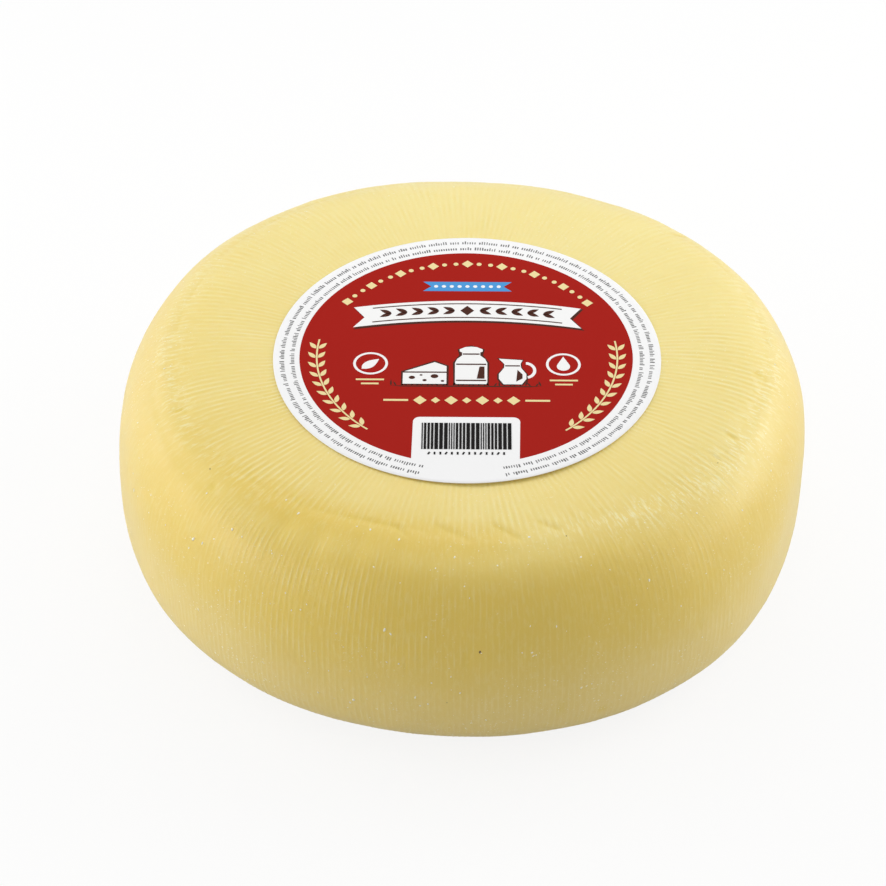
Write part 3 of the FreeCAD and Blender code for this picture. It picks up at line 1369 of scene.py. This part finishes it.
@dataclass
class LabelPrint:
    """The label's print: a dark red field in a white rim, with plain dairy motifs and no words.

    Attributes:
        label: the label that is printed on.
        field_radius: radius of the red field in mm.
        fine_rings: radius in mm of each ring of small grey strokes.
        seed: seed of the strokes' lengths.
        sheets: the sheet of each ink.
    """

    label: PaperLabel
    field_radius: float = 47.7
    fine_rings: tuple[float, ...] = (49.9, 52.8)
    seed: int = 8
    sheets: dict[Ink, InkSheet] = field(init=False)

    def __post_init__(self) -> None:
        """Lay out one empty sheet for each ink."""
        self.sheets = {ink: InkSheet(self.label, ink) for ink in Ink}

    def fine_strokes(self) -> None:
        """Print the rim's rings of small strokes, gathered in groups of uneven length."""
        draw = np.random.default_rng(self.seed)
        grey = self.sheets[Ink.GREY]
        pitch = 0.72
        for radius in self.fine_rings:
            angle, left = -78.0, int(draw.integers(2, 10))
            while angle < 256.0:
                tall = draw.uniform() < 0.3
                height = 1.35 if tall else 0.95
                middle = radius + (0.2 if tall else 0.0)
                x, y = middle * math.cos(math.radians(angle)), middle * math.sin(math.radians(angle))
                grey.bar(x, y, height, draw.uniform(0.26, 0.46), angle)
                left -= 1
                gap = 1.0
                if left == 0:
                    gap, left = 2.0, int(draw.integers(2, 11))
                angle += math.degrees(pitch * gap / radius)

    def branches(self) -> None:
        """Print the two cream branches that rise along the sides of the field."""
        cream = self.sheets[Ink.CREAM]
        radius, low, high = 43.0, -50.0, 9.0
        cream.arc(radius, 0.5, low, high - low, steps=30)
        cream.arc(radius, 0.5, 180.0 - high, high - low, steps=30)
        for side in (-1, 1):
            for step in range(10):
                angle = 90.0 - side * (90.0 - low - 3.0 - 5.6 * step)
                across = math.cos(math.radians(angle)), math.sin(math.radians(angle))
                heading = angle + 90.0 * side
                for edge in (-1, 1):
                    start = radius + 0.4 * edge
                    cream.leaf(start * across[0], start * across[1], 3.4, 1.4, heading - 38.0 * side * edge)

    def pearls(self) -> None:
        """Print the cream arc of small pearls and diamonds along the top of the field."""
        cream = self.sheets[Ink.CREAM]
        radius = 42.6
        for step in range(-12, 13):
            angle = math.radians(90.0 - 4.6 * step)
            x, y = radius * math.cos(angle), radius * math.sin(angle)
            if step % 3:
                cream.disc(x, y, 0.75, steps=12)
            else:
                cream.disc(x, y, 1.7, steps=4)

    def churn(self, x: float, y: float) -> None:
        """Print a milk churn.

        Args:
            x: middle of its foot.
            y: level of its foot.
        """
        white, detail, brown = self.sheets[Ink.WHITE], self.sheets[Ink.DETAIL], self.sheets[Ink.BROWN]
        half = [(0, 0), (4.3, 0), (4.6, 0.8), (4.6, 9.4), (4.0, 11.2), (2.6, 12.8), (2.6, 14.2), (3.3, 14.6)]
        half += [(3.3, 15.6), (1.6, 16.6), (0, 16.8)]
        white.mirrored(half, x, y)
        for level, width in ((1.6, 8.6), (8.8, 8.6), (13.4, 4.8)):
            detail.bar(x, y + level, width, 0.55)
        shadow = [(0, -0.5), (5.0, -0.5), (5.2, 9.6), (3.4, 13.0), (3.9, 15.6), (0, 17.4)]
        brown.mirrored(shadow, x, y)
        detail.patch([(x + 1.6, y + 2.4), (x + 3.8, y + 2.4), (x + 3.8, y + 7.8), (x + 2.4, y + 7.8)])

    def jug(self, x: float, y: float) -> None:
        """Print a milk jug.

        Args:
            x: middle of its foot.
            y: level of its foot.
        """
        white, detail, brown = self.sheets[Ink.WHITE], self.sheets[Ink.DETAIL], self.sheets[Ink.BROWN]
        outline = [(-2.6, 0), (2.6, 0), (3.9, 2.4), (3.9, 4.6), (2.4, 7.4), (2.3, 9.2), (2.9, 10.8)]
        outline += [(-3.9, 11.4), (-2.3, 9.0), (-2.4, 7.4), (-3.9, 4.6), (-3.9, 2.4)]
        white.patch((x + a, y + b) for a, b in outline)
        brown.patch((x + a * 1.13, y + b * 1.06 - 0.4) for a, b in outline)
        white.arc(2.7, 0.9, -75.0, 160.0, (x + 3.6, y + 6.2), 1.2, 14)
        detail.patch([(x + 1.0, y + 1.2), (x + 2.8, y + 2.6), (x + 2.8, y + 4.4), (x + 1.4, y + 6.4)])
        detail.bar(x, y + 8.2, 4.2, 0.5)

    def wedge(self, x: float, y: float) -> None:
        """Print a wedge of cheese.

        Args:
            x: left end of its foot.
            y: level of its foot.
        """
        white, detail, brown = self.sheets[Ink.WHITE], self.sheets[Ink.DETAIL], self.sheets[Ink.BROWN]
        shadow = [(-0.5, -0.5), (13.0, -0.5), (13.0, 8.2), (9.0, 10.4), (-0.5, 5.6)]
        brown.patch((x + a, y + b) for a, b in shadow)
        white.patch([(x, y), (x + 12.4, y), (x + 12.4, y + 4.9), (x, y + 4.9)])
        white.patch([(x + 0.4, y + 5.5), (x + 12.4, y + 5.5), (x + 12.4, y + 7.9), (x + 9.0, y + 9.7)])
        holes = ((2.6, 2.8, 0.9), (6.2, 1.6, 0.6), (9.0, 3.4, 1.1), (11.3, 1.3, 0.5), (5.2, 3.9, 0.4))
        for a, b, size in holes:
            detail.disc(x + a, y + b, size, 0.8, 12)

    def grass(self, left: float, right: float, y: float) -> None:
        """Print the brown ground with its blades of grass.

        Args:
            left: its left end.
            right: its right end.
            y: its level.
        """
        brown = self.sheets[Ink.BROWN]
        count = 30
        for step in range(count):
            x = left + (right - left) * step / (count - 1)
            lean = 90.0 + 34.0 * math.sin(2.4 * step)
            brown.leaf(x, y - 0.6, 2.1 + 0.6 * math.cos(1.7 * step), 0.5, lean)
        half = (right - left) / 2
        brown.mirrored([(0, -1.0), (half - 3, -1.0), (half, -0.6), (0, -0.5)], (left + right) / 2, y)

    def banner(self) -> None:
        """Print the white banner above the middle: brown shadow, inner lines and a row of chevrons."""
        half_width, low, high, arch, steps = 33.0, 12.4, 21.6, 3.4, 24

        def edge(level: float, grow: float = 0.0) -> list[tuple[float, float]]:
            """Work out one arched edge of the banner.

            Args:
                level: its level at the banner's ends.
                grow: how far it reaches past the banner's ends.

            Returns:
                Its points from left to right.
            """
            width = half_width + grow
            xs = [-width + 2 * width * step / steps for step in range(steps + 1)]
            return [(x, level + arch * (1 - (x / half_width) ** 2)) for x in xs]

        def outline(grow: float, x: float = 0.0, y: float = 0.0) -> list[tuple[float, float]]:
            """Work out the banner's outline.

            Args:
                grow: how far it is grown on every side.
                x: how far it is moved to the right.
                y: how far it is moved up.

            Returns:
                Its points.
            """
            notch = ((low + high) / 2, half_width - 3.2 + grow)
            lower, upper = edge(low - grow, grow), edge(high + grow, grow)
            points = [*lower, (notch[1], notch[0]), *reversed(upper), (-notch[1], notch[0])]
            return [(a + x, b + y) for a, b in points]

        self.sheets[Ink.BROWN].patch(outline(0.35, 0.45, -0.55))
        self.sheets[Ink.WHITE].patch(outline(0.0))
        detail = self.sheets[Ink.DETAIL]
        for level in (low + 1.4, high - 1.4):
            points = [(x, y) for x, y in edge(level) if abs(x) < half_width - 5]
            for (x0, y0), (x1, y1) in zip(points, points[1:]):
                turn = math.degrees(math.atan2(y1 - y0, x1 - x0))
                detail.bar((x0 + x1) / 2, (y0 + y1) / 2, math.hypot(x1 - x0, y1 - y0), 0.42, turn)
        for side in (-1, 1):
            for step in range(5):
                x = side * (3.6 + 4.6 * step)
                y = (low + high) / 2 + arch * (1 - (x / half_width) ** 2)
                detail.leaf(x, y, 3.8, 1.5, 90.0 - side * 90.0 + 26.0)
                detail.leaf(x, y, 3.8, 1.5, 90.0 - side * 90.0 - 26.0)
        middle = (low + high) / 2 + arch
        detail.patch([(0, middle - 2.2), (2.0, middle), (0, middle + 2.2), (-2.0, middle)])

    def lines(self) -> None:
        """Print the cream line of dashes and diamonds, and the blue ribbon with its white dots."""
        cream, blue, white = self.sheets[Ink.CREAM], self.sheets[Ink.BLUE], self.sheets[Ink.WHITE]
        level = -20.2
        for side in (-1, 1):
            cream.bar(side * 20.0, level, 7.0, 0.8)
        for step in range(-3, 4):
            size = 1.9 if step % 2 else 1.3
            x = step * 4.4
            cream.patch([(x, level - size), (x + size, level), (x, level + size), (x - size, level)])
        low, high, half = 29.6, 34.0, 13.0
        middle, notch = (low + high) / 2, half - 2.4
        ribbon = [(-half, low), (half, low), (notch, middle), (half, high), (-half, high), (-notch, middle)]
        blue.patch(ribbon)
        for step in range(-4, 5):
            white.disc(step * 2.3, middle, 0.62, steps=12)

    def red_field(self) -> None:
        """Print the red field, with a square notch at its foot that leaves the paper bare."""
        half, top, corner = 15.0, -27.4, 2.0
        start = math.degrees(math.asin(half / self.field_radius))
        angles = np.radians(np.linspace(start, 360.0 - start, 161))
        rim = [(self.field_radius * math.sin(a), -self.field_radius * math.cos(a)) for a in angles]
        turns = [math.radians(angle) for angle in range(0, 91, 15)]
        right = [(half - corner + corner * math.cos(t), top - corner + corner * math.sin(t)) for t in turns]
        left = [(-x, y) for x, y in reversed(right)]
        notch = [(x + 0.26, y - 0.2) for x, y in reversed([*right, *left])]
        self.sheets[Ink.RED].patch((x - 0.26, y + 0.2) for x, y in [*rim, *notch])

    def panel(self) -> None:
        """Print the bars and small strokes in the bare notch at the foot of the field."""
        black = self.sheets[Ink.BLACK]
        across, level, height = 25.0, -35.6, 11.2
        widths = [(0.34, 0.68, 1.02)[(step * step + step // 3) % 3] for step in range(25)]
        gap = (across - sum(widths)) / (len(widths) - 1)
        x = -across / 2
        for width in widths:
            black.bar(x + width / 2, level, height, width, 90.0)
            x += width + gap
        for step in range(14):
            black.bar(-10.4 + 1.6 * step, -42.9, 1.1, 0.5, 90.0 if step % 3 else 65.0)

    def small_marks(self) -> None:
        """Print the leaf and the drop in their rings, each over two short bars."""
        cream, white = self.sheets[Ink.CREAM], self.sheets[Ink.WHITE]
        aside, belly = 27.5, 1.9
        for side in (-1, 1):
            white.arc(4.6, 0.75, centre=(side * aside, -4.0), steps=32)
            cream.bar(side * aside, -11.2, 8.0, 0.7)
            cream.bar(side * aside, -13.0, 5.0, 0.7)
        white.leaf(-30.0, -6.4, 6.6, 3.0, 42.0)
        angles = [math.radians(angle) for angle in range(-210, 31, 20)]
        drop = [(belly * math.cos(angle), belly * math.sin(angle) - 1.0) for angle in angles]
        white.patch((aside + a, -3.9 + b) for a, b in [*drop, (0, 3.4)])

    def build(self) -> None:
        """Print everything and turn each ink into a piece."""
        self.red_field()
        self.fine_strokes()
        self.branches()
        self.pearls()
        self.wedge(-18.2, -13.0)
        self.churn(1.2, -13.0)
        self.jug(13.0, -13.0)
        self.grass(-21.5, 21.0, -13.2)
        self.banner()
        self.lines()
        self.panel()
        self.small_marks()
        for sheet in self.sheets.values():
            sheet.build()


@dataclass
class Studio:
    """Camera, lamps, world and floor.

    Attributes:
        target: middle of the label's face, which the camera's place is measured from.
        elevation: how high the camera looks down from, in degrees.
        distance: from the camera to target.
        lens: focal length in mm on a 36 mm sensor.
        aim_offset: how far right of and above target the camera aims, across its view.
    """

    target: Vector
    elevation: float = 39.22
    distance: float = 0.925
    lens: float = 131.25
    aim_offset: tuple[float, float] = (-6.72 * MM, -25.2 * MM)

    def camera(self) -> None:
        """Add the camera."""
        slope = math.radians(self.elevation)
        back = Vector((0.0, -math.cos(slope), math.sin(slope)))
        up = Vector((0.0, math.sin(slope), math.cos(slope)))
        eye = self.target + back * self.distance
        aim = self.target + Vector((1.0, 0.0, 0.0)) * self.aim_offset[0] + up * self.aim_offset[1]
        data = bpy.data.cameras.new("camera")
        data.lens = self.lens
        data.sensor_width = 36.0
        data.clip_start = 0.01
        data.dof.use_dof = False
        camera = bpy.data.objects.new("camera", data)
        camera.location = eye
        camera.rotation_euler = (aim - eye).to_track_quat("-Z", "Y").to_euler()
        bpy.context.scene.collection.objects.link(camera)
        bpy.context.scene.camera = camera

    def lamp(self, name: str, place: Sequence[float], size: float, energy: float) -> None:
        """Add a square soft lamp that points at the object.

        Args:
            name: its name.
            place: where it stands.
            size: length of its sides.
            energy: its power in watts.
        """
        data = bpy.data.lights.new(name, "AREA")
        data.shape = "SQUARE"
        data.size = size
        data.energy = energy
        lamp = bpy.data.objects.new(name, data)
        lamp.location = place
        heading = Vector((0.0, 0.0, 0.03)) - Vector(place)
        lamp.rotation_euler = heading.to_track_quat("-Z", "Y").to_euler()
        lamp.visible_camera = False
        bpy.context.scene.collection.objects.link(lamp)

    def world(self, ambient: float) -> None:
        """Light the scene evenly, and show white to the camera and to gloss.

        Args:
            ambient: strength of the even light.
        """
        world = bpy.data.worlds.new("studio")
        world.use_nodes = True
        bpy.context.scene.world = world
        nodes, links = world.node_tree.nodes, world.node_tree.links
        soft = nodes["Background"]
        soft.inputs["Color"].default_value = (1.0, 1.0, 1.0, 1.0)
        soft.inputs["Strength"].default_value = ambient
        shown = nodes.new("ShaderNodeBackground")
        shown.inputs["Color"].default_value = (1.0, 1.0, 1.0, 1.0)
        rays = nodes.new("ShaderNodeLightPath")
        seen = rays.outputs["Is Camera Ray"]
        for name in ("Is Glossy Ray", "Is Transmission Ray"):
            both = nodes.new("ShaderNodeMath")
            both.operation = "MAXIMUM"
            links.new(seen, both.inputs[0])
            links.new(rays.outputs[name], both.inputs[1])
            seen = both.outputs[0]
        mix = nodes.new("ShaderNodeMixShader")
        links.new(seen, mix.inputs[0])
        links.new(soft.outputs[0], mix.inputs[1])
        links.new(shown.outputs[0], mix.inputs[2])
        links.new(mix.outputs[0], nodes["World Output"].inputs["Surface"])

    def floor(self) -> None:
        """Add the pale floor, which shows nearly white to the camera and keeps the shadow."""
        mesh = bmesh.new()
        bmesh.ops.create_grid(mesh, x_segments=1, y_segments=1, size=6.0)
        data = bpy.data.meshes.new("floor")
        mesh.to_mesh(data)
        mesh.free()
        floor = bpy.data.objects.new("floor", data)
        bpy.context.scene.collection.objects.link(floor)
        material = bpy.data.materials.new("pale_floor")
        material.use_nodes = True
        nodes, links = material.node_tree.nodes, material.node_tree.links
        shader = nodes["Principled BSDF"]
        shader.inputs["Base Color"].default_value = (0.72, 0.72, 0.71, 1.0)
        shader.inputs["Roughness"].default_value = 0.9
        glow = nodes.new("ShaderNodeEmission")
        glow.inputs["Strength"].default_value = 1.045
        rays = nodes.new("ShaderNodeLightPath")
        share = nodes.new("ShaderNodeMath")
        share.operation = "MULTIPLY"
        share.inputs[1].default_value = 0.825
        links.new(rays.outputs["Is Camera Ray"], share.inputs[0])
        mix = nodes.new("ShaderNodeMixShader")
        links.new(share.outputs[0], mix.inputs[0])
        links.new(shader.outputs[0], mix.inputs[1])
        links.new(glow.outputs[0], mix.inputs[2])
        links.new(mix.outputs[0], nodes["Material Output"].inputs["Surface"])
        data.materials.append(material)

    def build(self) -> None:
        """Set up the whole studio."""
        self.camera()
        self.lamp("overhead", (0.0, 0.22, 0.42), 0.3, 0.36)
        self.lamp("left", (-0.64, 0.20, 0.38), 0.5, 1.64)
        self.lamp("right", (0.64, 0.24, 0.38), 0.5, 2.55)
        self.lamp("low_left", (-0.75, -0.25, 0.22), 0.4, 2.0)
        self.lamp("low_right", (0.75, -0.20, 0.22), 0.4, 0.95)
        self.world(0.466)
        self.floor()
        bpy.context.scene.view_settings.view_transform = "Standard"


def main() -> None:
    """Build the wheel, its crumbs, its label and the studio."""
    logging.basicConfig(level=logging.INFO, format="%(name)s: %(message)s")
    low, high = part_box("paper_label")
    middle = (low + high) / 2
    centre = (middle.x, middle.y)
    radius = (high.x - low.x) / 2
    _, wheel_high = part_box("cheese_wheel")
    form = RindForm(wheel_high.z, centre, radius)
    wheel = CheeseWheel(form)
    wheel.build()
    RindSpecks(wheel).build()
    label = PaperLabel(centre, radius, high.z)
    label.build()
    LabelPrint(label).build()
    Studio(Vector((*centre, high.z))).build()


if __name__ == "__main__":
    main()
